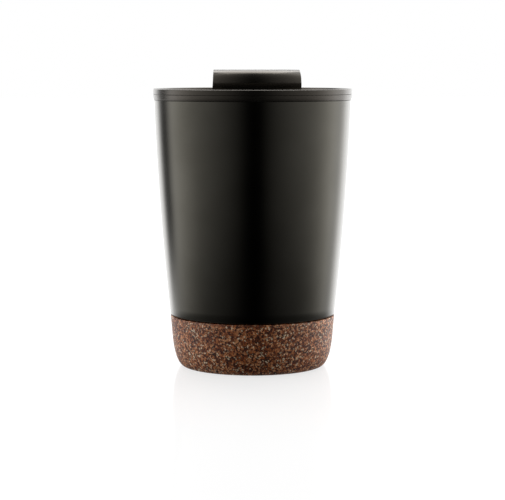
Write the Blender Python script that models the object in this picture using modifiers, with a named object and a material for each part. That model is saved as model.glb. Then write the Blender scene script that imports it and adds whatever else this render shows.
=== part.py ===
"""Insulated travel cup with a cork foot, a push-in lid and a flip-up drinking flap.

The cup is a tapered steel shell over a plastic liner, with a cork cup glued under its neck.
The lid pushes into the liner's mouth on a silicone ring. A wide flap turns on a steel pin
across the lid's hinge lug, and its two silicone plugs close the drinking slot and the vent.

Metres, +Z up. The origin is the centre of the foot, on the table. The drinker's side is -Y.
"""

import math

import bmesh
import bpy

MM = 0.001

# Clearances
GAP = 0.3 * MM  # between two pieces that touch or are glued on the real cup
SEAT_GAP = 0.2 * MM  # between the lid's flange and the liner's rim
PIN_CLEARANCE = 0.1 * MM  # radial, round the hinge pin
LID_CLEARANCE = 0.8 * MM  # radial, between the lid's spigot and the liner's mouth
HINGE_CLEARANCE = 0.6 * MM  # between the hinge lug and the flap's edge that swings over it

# Steel shell
SHEET = 0.6 * MM  # wall of the shell and of its bottom plate
SEAM_RADIUS = 37.1 * MM  # outside radius where the steel meets the cork
SEAM_HEIGHT = 23.4 * MM  # height of the steel's visible lower edge
SHELL_HEIGHT = 96.4 * MM  # from that edge to the top of the steel
SHELL_BOW = 0.85 * MM  # how far the side stands out from a straight cone at mid height
SHELL_EDGE = 0.8 * MM  # outside rounding of both ends of the visible side
NECK_STEP = 2.9 * MM  # how far the neck inside the cork is set in from the seam
BOW_POINTS = 4

# Cork foot
CORK_FLOOR = 5.5 * MM
FOOT_INSET = 6.4 * MM  # from the seam's radius in to where the rounded side meets the flat underside
FOOT_ROUND = 14.0 * MM  # height of the rounded lower part of the side
FOOT_TAPER = 0.08  # radius lost per metre of height above the rounded part
FOOT_LAND = 8.7 * MM  # width of the flat ring that stands on the table
FOOT_RECESS = 0.8 * MM
FOOT_FULLNESS = (0.16, 0.28, 0.43)  # shares that place the two handles of the rounded side's curve
CORK_EDGE = 0.3 * MM  # rounding of its upper edge
FOOT_POINTS = 6

# Bottom plate and its glue
ADHESIVE = 0.8 * MM
ADHESIVE_INSET = 3.2 * MM  # from the neck's outside in to the edge of the pad
ADHESIVE_WIDTH = 22.0 * MM
PLATE_FLANGE = 5.0 * MM
PLATE_LAND = 8.3 * MM  # from the plate's edge in to its raised middle
PLATE_RISE = 1.0 * MM

# Liner
RIM_RADIUS = 44.5 * MM  # outside radius of the liner's rim and of the lid's flange
RIM_DRAFT = 0.2 * MM  # how much the rim narrows towards the steel
STEEL_SET_IN = 0.1 * MM  # from the rim's lower edge in to the steel
RIM = 2.35 * MM  # thickness of the rim
RIM_LIP = 0.5 * MM  # width of the rim outside its gasket groove
MOUTH_MARGIN = 0.65 * MM  # how far the straight mouth runs on below the lid's plug
MOUTH_EDGE = 0.5 * MM  # rounding of the mouth's upper edge
RIM_ROUND = 0.4 * MM  # rounding of the outside edges of the rim and of the lid
MOUTH_ROUND = 12.0 * MM  # where the straight mouth meets the tapered wall
LINER_WALL = 1.8 * MM
LINER_AIR = 3.3 * MM  # between the liner's floor corner and the neck
BOTTOM_AIR = 9.75 * MM  # between the liner's floor and the bottom plate
LINER_ROUND = 8.0 * MM  # inside rounding between wall and floor
GASKET = 1.0 * MM
GASKET_WIDTH = 1.0 * MM

# Lid
FLANGE = 2.45 * MM
LID_WALL = 1.6 * MM
LID_FLOOR = 1.8 * MM
LEDGE_DROP = 1.7 * MM  # from the top of the raised edge to the ledge inside it
EDGE_WIDTH = 1.5 * MM  # width of the raised edge
RECESS_ROUND = 1.0 * MM  # in the corner of the recess floor
LEDGE_ROUND = 0.7 * MM  # along both edges of the ledge
PLUG_HEIGHT = 8.9 * MM
PLUG_FLOOR = 1.8 * MM
PLUG_ROUND = 0.9 * MM  # of its floor's corners, inside and outside
RING_HEIGHT = 3.8 * MM
RING_GROOVE = 2.0 * MM  # depth of the groove that holds the ring
RING_TOP = 1.85 * MM  # from the top of the plug to the groove
RING_BODY = 1.3 * MM
RING_LIP = 0.45 * MM  # thickness of a lip at its tip
RING_FALL = 1.1 * MM  # from a lip's tip down to where it meets the band
RING_FIRST = 0.35  # the upper lip's place, as a share of the distance between lips
SLOT_LENGTH = 20.0 * MM  # drinking slot, across the lid
SLOT_WIDTH = 6.6 * MM
RECESS_DEPTH = 4.6 * MM  # from the top of the raised edge to the recess floor
VENT_RADIUS = 1.5 * MM
VENT_BEHIND_SLOT = 15.0 * MM
DUCT_WALL = 1.5 * MM  # wall of the two ducts through the plug
DUCT_DROP = 0.1 * MM  # how far the ducts end below the top of the plug

# Hinge and flap
HINGE_Y = 6.0 * MM
LUG_WIDTH = 24.0 * MM
PIN_RADIUS = 1.5 * MM
PIN_CHAMFER = 0.25 * MM
PIN_INSET = 0.25 * MM  # how far each end of the pin stands back from the flap's side
FLAP_WIDTH = 38.5 * MM  # at the nose's corners, at mid thickness
FLAP_TAPER = math.radians(2.8)  # how much each side turns in towards the hinge
FLAP_THICKNESS = 10.0 * MM
UNDER_FLAP = 3.1 * MM  # from the recess floor up to the flap's underside
NOSE_SETBACK = 9.5 * MM  # from the lid's outside in to the flap's nose, which follows the lid's curve
NOSE_CORNER = 1.5 * MM  # rounding between the nose and the sides
NOSE_WALL = 3.5 * MM
FLAP_WALL = 1.6 * MM
FLAP_EDGE = 0.9 * MM  # rounding of the long edges
FLAP_DRAFT = math.radians(3.5)  # slope of the flap's sides
NOSE_STEPS = 8  # facets round the nose's section
ARC_STEPS = 12  # facets along the nose's curve

# Flap base and plugs
BASE_PLATE = 1.6 * MM
BASE_INSET = 0.2 * MM  # how far the plate stands back from the flap's underside
BOSS_MARGIN = 0.6 * MM  # from the plate's front edge to the stopper's boss
STOPPER_REACH = 2.2 * MM  # how far the stopper goes into the slot
STOPPER_WALL = 1.2 * MM
STOPPER_FLOOR = 1.2 * MM
STOPPER_EDGE = 0.3 * MM  # rounding of the flange
STOPPER_FLANGE = 1.5 * MM  # how far the flange stands out, and its thickness
STOPPER_CHAMFER = 1.5 * MM  # of the stopper's lower edge, so that it swings out past the slot's edge
VENT_REACH = 1.2 * MM
VENT_COLLAR = 1.0 * MM  # how far the collar and the head stand out from the stem
VENT_HEAD = 1.0 * MM  # thickness of the collar and the head
VENT_ROUND = 0.4 * MM  # of the head's upper edge
VENT_TIP = 0.8 * MM  # radius of the tip

# Facets
SEGMENTS = 48  # round a turned piece
FILLET_STEPS = 2
BORE_SEGMENTS = 24
STADIUM_STEPS = 8  # round each end of a slot
WELD = 0.005 * MM

# Worked out from the sizes above
SHELL_TOP = SEAM_HEIGHT + SHELL_HEIGHT
SHELL_TOP_RADIUS = RIM_RADIUS - RIM_DRAFT - STEEL_SET_IN
NECK_RADIUS = SEAM_RADIUS - NECK_STEP
NECK_FOOT = CORK_FLOOR + ADHESIVE + 2 * GAP
FOOT_RADIUS = SEAM_RADIUS - FOOT_INSET
PLATE_EDGE = NECK_RADIUS - SHEET - GAP
RIM_UNDERSIDE = SHELL_TOP + GAP
RIM_TOP = RIM_UNDERSIDE + RIM
GROOVE_OUTER = RIM_RADIUS - RIM_DRAFT - RIM_LIP
GROOVE_INNER = GROOVE_OUTER - GASKET_WIDTH - 2 * GAP
GROOVE_CEILING = RIM_UNDERSIDE + GASKET
LINER_OUTER = GROOVE_INNER - SHEET - GAP
MOUTH_RADIUS = LINER_OUTER - LINER_WALL
LINER_FLOOR_RADIUS = NECK_RADIUS - SHEET - LINER_AIR - LINER_WALL
LINER_FLOOR = NECK_FOOT + PLATE_RISE + SHEET + BOTTOM_AIR + LINER_WALL
LID_SEAT = RIM_TOP + SEAT_GAP
SPIGOT_RADIUS = MOUTH_RADIUS - LID_CLEARANCE
RECESS_RADIUS = SPIGOT_RADIUS - LID_WALL
FLAP_RADIUS = FLAP_THICKNESS / 2
# In the lid's own frame, from the underside of its flange
RECESS_FLOOR = FLANGE - RECESS_DEPTH
HINGE_Z = RECESS_FLOOR + UNDER_FLAP + FLAP_RADIUS
PLUG_TOP = RECESS_FLOOR - LID_FLOOR - GAP
PLUG_FOOT = PLUG_TOP - PLUG_HEIGHT
RING_SEAT = PLUG_TOP - RING_TOP
GROOVE_RADIUS = SPIGOT_RADIUS - RING_GROOVE
# In the flap's own frame, from the hinge axis
FLOOR_BELOW_HINGE = RECESS_FLOOR - HINGE_Z
NOSE_ARC = RIM_RADIUS - NOSE_SETBACK
CAVITY_ARC = NOSE_ARC - NOSE_WALL
PLATE_ARC = CAVITY_ARC - GAP
CAVITY_HALF_WIDTH = FLAP_WIDTH / 2 - FLAP_WALL
FLAP_SIDE = math.sqrt(NOSE_ARC**2 - (FLAP_WIDTH / 2) ** 2) + HINGE_Y  # from the nose's corners to the hinge
HINGE_HALF_WIDTH = FLAP_WIDTH / 2 - FLAP_SIDE * math.tan(FLAP_TAPER)
LUG_RADIUS = FLAP_RADIUS - GAP
SWING_RADIUS = LUG_RADIUS + HINGE_CLEARANCE
CAVITY_BACK = SWING_RADIUS + FLAP_WALL
PLATE_UNDERSIDE = -FLAP_RADIUS + BASE_INSET
STOPPER_WIDTH = SLOT_WIDTH - 2 * GAP
STOPPER_LENGTH = SLOT_LENGTH - 2 * GAP
BOSS_SHRINK = 2 * GAP + STOPPER_WALL  # from the slot's outline in to the boss
BOSS_CORNER = SLOT_LENGTH / 2 - BOSS_SHRINK
BOSS_FRONT = math.sqrt(PLATE_ARC**2 - BOSS_CORNER**2) - BOSS_MARGIN  # from the lid's centre
SLOT_Y = -(BOSS_FRONT + BOSS_SHRINK - SLOT_WIDTH / 2)
VENT_Y = SLOT_Y + VENT_BEHIND_SLOT
SLOT_FROM_HINGE = SLOT_Y - HINGE_Y
VENT_FROM_HINGE = VENT_Y - HINGE_Y


# ---------------------------------------------------------------- scene and materials


def clear_scene():
    for obj in list(bpy.data.objects):
        bpy.data.objects.remove(obj)


def new_collection(name):
    collection = bpy.data.collections.new(name)
    bpy.context.scene.collection.children.link(collection)
    return collection


def material(name, colour, roughness, metallic=0.0):
    made = bpy.data.materials.new(name)
    made.use_nodes = True
    shader = made.node_tree.nodes["Principled BSDF"]
    shader.inputs["Base Color"].default_value = (*colour, 1.0)
    shader.inputs["Roughness"].default_value = roughness
    shader.inputs["Metallic"].default_value = metallic
    return made


def empty(name, location, parent=None):
    made = bpy.data.objects.new(name, None)
    made.empty_display_size = 10 * MM
    made.location = location
    made.parent = parent
    PARTS.objects.link(made)
    return made


# ---------------------------------------------------------------- outlines


def rounded(corners, closed):
    """The points of a profile whose corners are (x, y) or (x, y, fillet radius)."""
    points = []
    last = len(corners) - 1
    for i, corner in enumerate(corners):
        x, y = corner[:2]
        fillet = corner[2] if len(corner) > 2 else 0.0
        if not fillet or (not closed and i in (0, last)):
            points.append((x, y))
            continue
        before = corners[i - 1]
        after = corners[(i + 1) % len(corners)]
        into = math.atan2(before[1] - y, before[0] - x)
        out = math.atan2(after[1] - y, after[0] - x)
        half = ((out - into + math.pi) % (2 * math.pi) - math.pi) / 2
        middle = into + half
        to_centre = fillet / abs(math.sin(half))
        centre_x = x + to_centre * math.cos(middle)
        centre_y = y + to_centre * math.sin(middle)
        sweep = math.copysign(math.pi / 2 - abs(half), half)
        for step in range(FILLET_STEPS + 1):
            angle = middle + math.pi + sweep * (1 - 2 * step / FILLET_STEPS)
            points.append((centre_x + fillet * math.cos(angle), centre_y + fillet * math.sin(angle)))
    return points


def stadium(length, width):
    """An outline with two straight sides and round ends, length along x."""
    radius = width / 2
    reach = length / 2 - radius
    points = []
    for side in (1, -1):
        for step in range(STADIUM_STEPS + 1):
            angle = math.pi * (step / STADIUM_STEPS - 0.5)
            points.append((side * (reach + radius * math.cos(angle)), side * radius * math.sin(angle)))
    return points


# ---------------------------------------------------------------- solids


def place(obj, parent, collection, shade):
    obj.parent = parent
    collection.objects.link(obj)
    if shade:
        obj.data.materials.append(shade)
    return obj


def turned(
    name, corners, shade, closed=False, parent=None, centre=(0, 0, 0), segments=SEGMENTS, cutter=False
):
    """A profile of (radius, height) corners turned about the vertical line through centre."""
    points = rounded(corners, closed)
    mesh = bpy.data.meshes.new(name)
    edges = [(i, i + 1) for i in range(len(points) - 1)]
    if closed:
        edges.append((len(points) - 1, 0))
    mesh.from_pydata([(radius, 0, height) for radius, height in points], edges, [])
    obj = place(bpy.data.objects.new(name, mesh), parent, CUTTERS if cutter else PARTS, shade)
    obj.location = centre
    screw = obj.modifiers.new("turn", "SCREW")
    screw.steps = screw.render_steps = segments
    screw.use_merge_vertices = True
    screw.merge_threshold = WELD
    return freeze(obj)


def extruded(name, outline, low, high, shade, parent=None, centre=(0, 0, 0), across=False, cutter=False):
    """A flat outline made thick from low to high: upwards, or sideways along X when across."""
    curve = bpy.data.curves.new(name, "CURVE")
    curve.dimensions = "2D"
    curve.fill_mode = "BOTH"
    curve.extrude = (high - low) / 2
    spline = curve.splines.new("POLY")
    spline.points.add(len(outline) - 1)
    for point, (x, y) in zip(spline.points, outline):
        point.co = (x, y, 0, 1)
    spline.use_cyclic_u = True
    middle = (low + high) / 2
    obj = place(bpy.data.objects.new(name, curve), parent, CUTTERS if cutter else PARTS, None)
    if across:
        obj.rotation_euler = (math.pi / 2, 0, math.pi / 2)
        obj.location = (centre[0] + middle, centre[1], centre[2])
    else:
        obj.location = (centre[0], centre[1], centre[2] + middle)
    solid = to_mesh(obj)
    if shade:
        solid.data.materials.append(shade)
    return solid


def to_mesh(curve_object):
    """The curve's solid as a mesh in its parent's frame, with its caps welded on."""
    bpy.context.view_layer.update()
    graph = bpy.context.evaluated_depsgraph_get()
    mesh = bpy.data.meshes.new_from_object(curve_object.evaluated_get(graph))
    mesh.transform(curve_object.matrix_local)
    name, parent = curve_object.name, curve_object.parent
    collection = curve_object.users_collection[0]
    bpy.data.objects.remove(curve_object)
    edit = bmesh.new()
    edit.from_mesh(mesh)
    bmesh.ops.remove_doubles(edit, verts=edit.verts, dist=WELD)
    bmesh.ops.dissolve_limit(edit, angle_limit=math.radians(0.5), verts=edit.verts, edges=edit.edges)
    bmesh.ops.recalc_face_normals(edit, faces=edit.faces)
    edit.to_mesh(mesh)
    edit.free()
    obj = bpy.data.objects.new(name, mesh)
    obj.parent = parent
    collection.objects.link(obj)
    return obj


def freeze(obj):
    """Makes the modifiers' result the object's own mesh, smooth with its corners kept sharp."""
    bpy.context.view_layer.update()
    graph = bpy.context.evaluated_depsgraph_get()
    mesh = bpy.data.meshes.new_from_object(obj.evaluated_get(graph))
    obj.modifiers.clear()
    obj.data = mesh
    mesh.shade_smooth()
    mesh.set_sharp_from_angle(angle=math.radians(35))
    return obj


def combine(obj, other, operation):
    """Joins other to obj (UNION), cuts it away (DIFFERENCE) or keeps what they share (INTERSECT)."""
    boolean = obj.modifiers.new(other.name, "BOOLEAN")
    boolean.operation = operation
    boolean.solver = "EXACT"
    boolean.object = other
    other.hide_render = True
    other.display_type = "WIRE"
    weld = obj.modifiers.new("weld", "WELD")
    weld.merge_threshold = WELD
    return freeze(obj)


def bevelled(obj, width, segments=2, angle=40):
    bevel = obj.modifiers.new("edges", "BEVEL")
    bevel.width = width
    bevel.segments = segments
    bevel.limit_method = "ANGLE"
    bevel.angle_limit = math.radians(angle)
    return freeze(obj)


def rod(name, radius, half_length, shade, parent, centre=(0, 0, 0), cutter=False):
    """A cylinder along X."""
    turn = 2 * math.pi / BORE_SEGMENTS
    outline = [(radius * math.cos(turn * i), radius * math.sin(turn * i)) for i in range(BORE_SEGMENTS)]
    low, high = -half_length, half_length
    return extruded(name, outline, low, high, shade, parent, centre, across=True, cutter=cutter)


# ---------------------------------------------------------------- cup


def shell_radius(height):
    """Outside radius of the steel side: a straight cone plus a gentle bow."""
    share = (height - SEAM_HEIGHT) / SHELL_HEIGHT
    straight = SEAM_RADIUS + (SHELL_TOP_RADIUS - SEAM_RADIUS) * share
    return straight + 4 * SHELL_BOW * share * (1 - share)


def side_points(inset):
    """The steel side between its two ends, from the top down, moved inwards by inset."""
    heights = [SEAM_HEIGHT + SHELL_HEIGHT * i / (BOW_POINTS + 1) for i in range(BOW_POINTS, 0, -1)]
    return [(shell_radius(height) - inset, height) for height in heights]


def outer_shell():
    lip_radius = LINER_OUTER + GAP
    outside = [
        (lip_radius, SHELL_TOP),
        (SHELL_TOP_RADIUS, SHELL_TOP, SHELL_EDGE),
        *side_points(0.0),
        (SEAM_RADIUS, SEAM_HEIGHT, SHELL_EDGE),
        (NECK_RADIUS, SEAM_HEIGHT, SHEET),
        (NECK_RADIUS, NECK_FOOT),
    ]
    inside = [
        (NECK_RADIUS - SHEET, NECK_FOOT),
        (NECK_RADIUS - SHEET, SEAM_HEIGHT + SHEET, 2 * SHEET),
        (SEAM_RADIUS - SHEET, SEAM_HEIGHT + SHEET),
        *reversed(side_points(SHEET)),
        (SHELL_TOP_RADIUS - SHEET, SHELL_TOP - SHEET),
        (lip_radius, SHELL_TOP - SHEET),
    ]
    return turned("outer_shell", outside + inside, BLACK_STEEL, closed=True)


def bottom_plate():
    panel = PLATE_EDGE - PLATE_LAND
    rise = NECK_FOOT + PLATE_RISE
    corners = [
        (0, rise + SHEET),
        (panel, rise + SHEET),
        (panel + 2 * PLATE_RISE, NECK_FOOT + SHEET),
        (PLATE_EDGE - SHEET, NECK_FOOT + SHEET, SHEET),
        (PLATE_EDGE - SHEET, NECK_FOOT + PLATE_FLANGE),
        (PLATE_EDGE, NECK_FOOT + PLATE_FLANGE),
        (PLATE_EDGE, NECK_FOOT, 2 * SHEET),
        (panel + 2 * PLATE_RISE, NECK_FOOT),
        (panel, rise),
        (0, rise),
    ]
    return turned("bottom_plate", corners, BARE_STEEL)


def foot_curve():
    """The cork's rounded lower side: a cubic Bezier from the side down to the flat underside."""
    top_radius = SEAM_RADIUS - FOOT_TAPER * (SEAM_HEIGHT - FOOT_ROUND)
    bulge = top_radius - FOOT_RADIUS
    side_share, height_share, under_share = FOOT_FULLNESS
    handles = [
        (top_radius, FOOT_ROUND),
        (top_radius - side_share * bulge, height_share * FOOT_ROUND),
        (FOOT_RADIUS + under_share * bulge, 0.0),
        (FOOT_RADIUS, 0.0),
    ]
    points = []
    for i in range(FOOT_POINTS + 1):
        t = i / FOOT_POINTS
        weights = ((1 - t) ** 3, 3 * t * (1 - t) ** 2, 3 * t * t * (1 - t), t**3)
        point = [sum(w * handle[axis] for w, handle in zip(weights, handles)) for axis in (0, 1)]
        points.append(tuple(point))
    return points


def cork_base():
    inner = NECK_RADIUS + GAP
    top = SEAM_HEIGHT - GAP
    recess = FOOT_RADIUS - FOOT_LAND
    corners = [
        (0, CORK_FLOOR),
        (inner, CORK_FLOOR, 2 * GAP),
        (inner, top),
        (SEAM_RADIUS, top, CORK_EDGE),
        *foot_curve(),
        (recess, 0),
        (recess - FOOT_RECESS, FOOT_RECESS),
        (0, FOOT_RECESS),
    ]
    return turned("cork_base", corners, CORK)


def adhesive_pad():
    low = CORK_FLOOR + GAP
    outer = NECK_RADIUS - ADHESIVE_INSET
    corners = [
        (outer, low + ADHESIVE),
        (outer, low),
        (outer - ADHESIVE_WIDTH, low),
        (outer - ADHESIVE_WIDTH, low + ADHESIVE),
    ]
    return turned("adhesive_pad", corners, FOAM_TAPE, closed=True)


def inner_liner():
    straight = LID_SEAT + PLUG_FOOT - MOUTH_MARGIN
    corners = [
        (0, LINER_FLOOR),
        (LINER_FLOOR_RADIUS, LINER_FLOOR, LINER_ROUND),
        (MOUTH_RADIUS, straight, MOUTH_ROUND),
        (MOUTH_RADIUS, RIM_TOP, MOUTH_EDGE),
        (RIM_RADIUS, RIM_TOP, RIM_ROUND),
        (RIM_RADIUS - RIM_DRAFT, RIM_UNDERSIDE, RIM_ROUND),
        (GROOVE_OUTER, RIM_UNDERSIDE),
        (GROOVE_OUTER, GROOVE_CEILING),
        (GROOVE_INNER, GROOVE_CEILING),
        (GROOVE_INNER, RIM_UNDERSIDE),
        (LINER_OUTER, RIM_UNDERSIDE),
        (LINER_OUTER, straight, MOUTH_ROUND),
        (LINER_FLOOR_RADIUS + LINER_WALL, LINER_FLOOR - LINER_WALL, LINER_ROUND + LINER_WALL),
        (0, LINER_FLOOR - LINER_WALL),
    ]
    return turned("inner_liner", corners, PLASTIC)


def rim_gasket():
    corners = [
        (GROOVE_OUTER - GAP, GROOVE_CEILING - GAP),
        (GROOVE_OUTER - GAP, GROOVE_CEILING - GASKET),
        (GROOVE_INNER + GAP, GROOVE_CEILING - GASKET),
        (GROOVE_INNER + GAP, GROOVE_CEILING - GAP),
    ]
    return turned("rim_gasket", corners, SILICONE, closed=True)


# ---------------------------------------------------------------- lid


def slot_cutter(name, low, high, parent, y, grow=0.0):
    outline = stadium(SLOT_LENGTH + 2 * grow, SLOT_WIDTH + 2 * grow)
    return extruded(name, outline, low, high, None, parent, (0, y, 0), cutter=True)


def round_cutter(name, radius, low, high, parent, y):
    corners = [(0, high), (radius, high), (radius, low), (0, low)]
    return turned(name, corners, None, parent=parent, centre=(0, y, 0), segments=BORE_SEGMENTS, cutter=True)


def hinge_lug():
    """The lid's middle knuckle: a round top about the hinge axis on a block that stands on the floor."""
    arc = [
        (LUG_RADIUS * math.cos(math.pi * i / NOSE_STEPS), LUG_RADIUS * math.sin(math.pi * i / NOSE_STEPS))
        for i in range(NOSE_STEPS + 1)
    ]
    foot = FLOOR_BELOW_HINGE - LID_FLOOR / 2
    outline = [*arc, (-LUG_RADIUS, foot), (LUG_RADIUS, foot)]
    half = LUG_WIDTH / 2
    centre = (0, HINGE_Y, HINGE_Z)
    return extruded("hinge_lug", outline, -half, half, None, LID, centre, across=True, cutter=True)


def lid_cover():
    rim_inside = RIM_RADIUS - EDGE_WIDTH
    ledge = FLANGE - LEDGE_DROP
    corners = [
        (0, RECESS_FLOOR),
        (RECESS_RADIUS, RECESS_FLOOR, RECESS_ROUND),
        (RECESS_RADIUS, ledge, LEDGE_ROUND),
        (rim_inside - LEDGE_DROP / 2, ledge, LEDGE_ROUND),
        (rim_inside, FLANGE, RIM_ROUND),
        (RIM_RADIUS, FLANGE, RIM_ROUND),
        (RIM_RADIUS, 0, RIM_ROUND),
        (SPIGOT_RADIUS, 0),
        (SPIGOT_RADIUS, RECESS_FLOOR - LID_FLOOR),
        (0, RECESS_FLOOR - LID_FLOOR),
    ]
    cover = turned("lid_cover", corners, PLASTIC, parent=LID)
    combine(cover, hinge_lug(), "UNION")
    low, high = RECESS_FLOOR - 2 * LID_FLOOR, RECESS_FLOOR + LID_FLOOR
    combine(cover, slot_cutter("cover_slot", low, high, LID, SLOT_Y), "DIFFERENCE")
    combine(cover, round_cutter("cover_vent", VENT_RADIUS, low, high, LID, VENT_Y), "DIFFERENCE")
    axis = (0, HINGE_Y, HINGE_Z)
    bore = rod("lug_bore", PIN_RADIUS + PIN_CLEARANCE, LUG_WIDTH, None, LID, axis, cutter=True)
    return combine(cover, bore, "DIFFERENCE")


def lid_plug():
    inside = GROOVE_RADIUS - LID_WALL
    ring_foot = RING_SEAT - RING_HEIGHT - 2 * GAP
    corners = [
        (0, PLUG_FOOT + PLUG_FLOOR),
        (inside, PLUG_FOOT + PLUG_FLOOR, PLUG_ROUND),
        (inside, PLUG_TOP),
        (SPIGOT_RADIUS, PLUG_TOP),
        (SPIGOT_RADIUS, RING_SEAT),
        (GROOVE_RADIUS, RING_SEAT),
        (GROOVE_RADIUS, ring_foot),
        (SPIGOT_RADIUS, ring_foot),
        (SPIGOT_RADIUS, PLUG_FOOT, PLUG_ROUND),
        (0, PLUG_FOOT),
    ]
    plug = turned("lid_plug", corners, PLASTIC, parent=LID)
    root = PLUG_FOOT + PLUG_FLOOR / 2
    duct = slot_cutter("slot_duct", root, PLUG_TOP - DUCT_DROP, LID, SLOT_Y, DUCT_WALL)
    combine(plug, duct, "UNION")
    pipe = round_cutter("vent_duct", VENT_RADIUS + DUCT_WALL, root, PLUG_TOP - DUCT_DROP, LID, VENT_Y)
    combine(plug, pipe, "UNION")
    low, high = PLUG_FOOT - PLUG_FLOOR, PLUG_TOP + LID_WALL
    combine(plug, slot_cutter("plug_slot", low, high, LID, SLOT_Y), "DIFFERENCE")
    return combine(plug, round_cutter("plug_vent", VENT_RADIUS, low, high, LID, VENT_Y), "DIFFERENCE")


def lid_seal():
    """The silicone ring: a plain band in the groove with two thin lips that wipe the liner."""
    inner = GROOVE_RADIUS + GAP
    body = inner + RING_BODY
    lip = MOUTH_RADIUS - GAP
    top = RING_SEAT - GAP
    lip_pitch = RING_HEIGHT / 2
    outside = [(body, top)]
    for i in range(2):
        tip = top - lip_pitch * (i + RING_FIRST)
        outside += [(lip, tip), (lip, tip - RING_LIP), (body, tip - RING_FALL)]
    outside[-1] = (body, top - RING_HEIGHT)
    corners = [*outside, (inner, top - RING_HEIGHT), (inner, top)]
    return turned("lid_seal", corners, SILICONE, closed=True, parent=LID)


def hinge_pin():
    pin = rod("hinge_pin", PIN_RADIUS, HINGE_HALF_WIDTH - PIN_INSET, BARE_STEEL, LID, (0, HINGE_Y, HINGE_Z))
    return bevelled(pin, PIN_CHAMFER, 1)


# ---------------------------------------------------------------- flap


def plan(arc, half_width, back, corner=0.0):
    """The flap's outline from above: sides that close in, and a front on a circle about the lid's axis."""
    half_angle = math.asin(half_width / arc)
    front = []
    for i in range(ARC_STEPS + 1):
        angle = half_angle * (2 * i / ARC_STEPS - 1)
        fillet = corner if i in (0, ARC_STEPS) else 0.0
        front.append((arc * math.sin(angle), -HINGE_Y - arc * math.cos(angle), fillet))
    back_half = half_width - (back - front[-1][1]) * math.tan(FLAP_TAPER)
    return rounded([*front, (back_half, back), (-back_half, back)], True)


def half_round(radius):
    """The points of a half circle that bulges towards +x, from the bottom up."""
    turn = math.pi / NOSE_STEPS
    return [
        (radius * math.cos(turn * i - math.pi / 2), radius * math.sin(turn * i - math.pi / 2))
        for i in range(NOSE_STEPS + 1)
    ]


def sloped(obj):
    """Gives the flap's sides their draft: wider towards the underside."""
    slope = math.tan(FLAP_DRAFT) / (FLAP_WIDTH / 2)
    for vertex in obj.data.vertices:
        vertex.co.x *= 1 - slope * vertex.co.z
    return obj


def flap_shell():
    half = FLAP_WIDTH / 2
    tall = 2 * FLAP_RADIUS
    outline = plan(NOSE_ARC, half, FLAP_RADIUS, NOSE_CORNER)
    shell = sloped(extruded("flap_shell", outline, -FLAP_RADIUS, FLAP_RADIUS, PLASTIC, FLAP))
    bevelled(shell, FLAP_EDGE)
    arc_centre = NOSE_ARC - FLAP_RADIUS
    section = [(arc_centre + x, y) for x, y in reversed(half_round(FLAP_RADIUS))]
    disc = [(0, tall), (arc_centre, tall), *section, (arc_centre, -tall), (0, -tall)]
    lid_axis = (0, -HINGE_Y, 0)
    nose = turned("flap_nose", disc, None, parent=FLAP, centre=lid_axis, segments=2 * SEGMENTS, cutter=True)
    combine(shell, nose, "INTERSECT")
    side = [(-2 * NOSE_ARC, -tall), (0, -tall), *half_round(FLAP_RADIUS), (0, tall), (-2 * NOSE_ARC, tall)]
    wide = FLAP_WIDTH
    hinge_end = extruded("flap_hinge_end", side, -wide, wide, None, FLAP, across=True, cutter=True)
    combine(shell, hinge_end, "INTERSECT")
    inside = plan(CAVITY_ARC, CAVITY_HALF_WIDTH, -CAVITY_BACK)
    cavity = extruded("flap_cavity", inside, -tall, FLAP_RADIUS - FLAP_WALL, None, FLAP, cutter=True)
    combine(shell, cavity, "DIFFERENCE")
    gap_half = LUG_WIDTH / 2 + GAP
    behind = [(-SWING_RADIUS, -tall), (tall, -tall), (tall, tall), (-SWING_RADIUS, tall)]
    knuckle = extruded("knuckle_gap", behind, -gap_half, gap_half, None, FLAP, across=True, cutter=True)
    combine(shell, knuckle, "DIFFERENCE")
    bore = rod("flap_bore", PIN_RADIUS + PIN_CLEARANCE, FLAP_WIDTH, None, FLAP, cutter=True)
    return combine(shell, bore, "DIFFERENCE")


def flap_base():
    """The plate that closes the flap's underside, with a boss for the drinking stopper."""
    outline = plan(PLATE_ARC, CAVITY_HALF_WIDTH - GAP, -CAVITY_BACK - GAP)
    top = PLATE_UNDERSIDE + BASE_PLATE
    plate = extruded("flap_base", outline, PLATE_UNDERSIDE, top, PLASTIC, FLAP)
    foot = FLOOR_BELOW_HINGE - STOPPER_REACH + STOPPER_FLOOR + GAP
    boss = slot_cutter("stopper_boss", foot, top - BASE_PLATE / 2, FLAP, SLOT_FROM_HINGE, -BOSS_SHRINK)
    combine(plate, boss, "UNION")
    hole = round_cutter("vent_plug_hole", VENT_RADIUS, FLOOR_BELOW_HINGE, FLAP_RADIUS, FLAP, VENT_FROM_HINGE)
    return combine(plate, hole, "DIFFERENCE")


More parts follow.
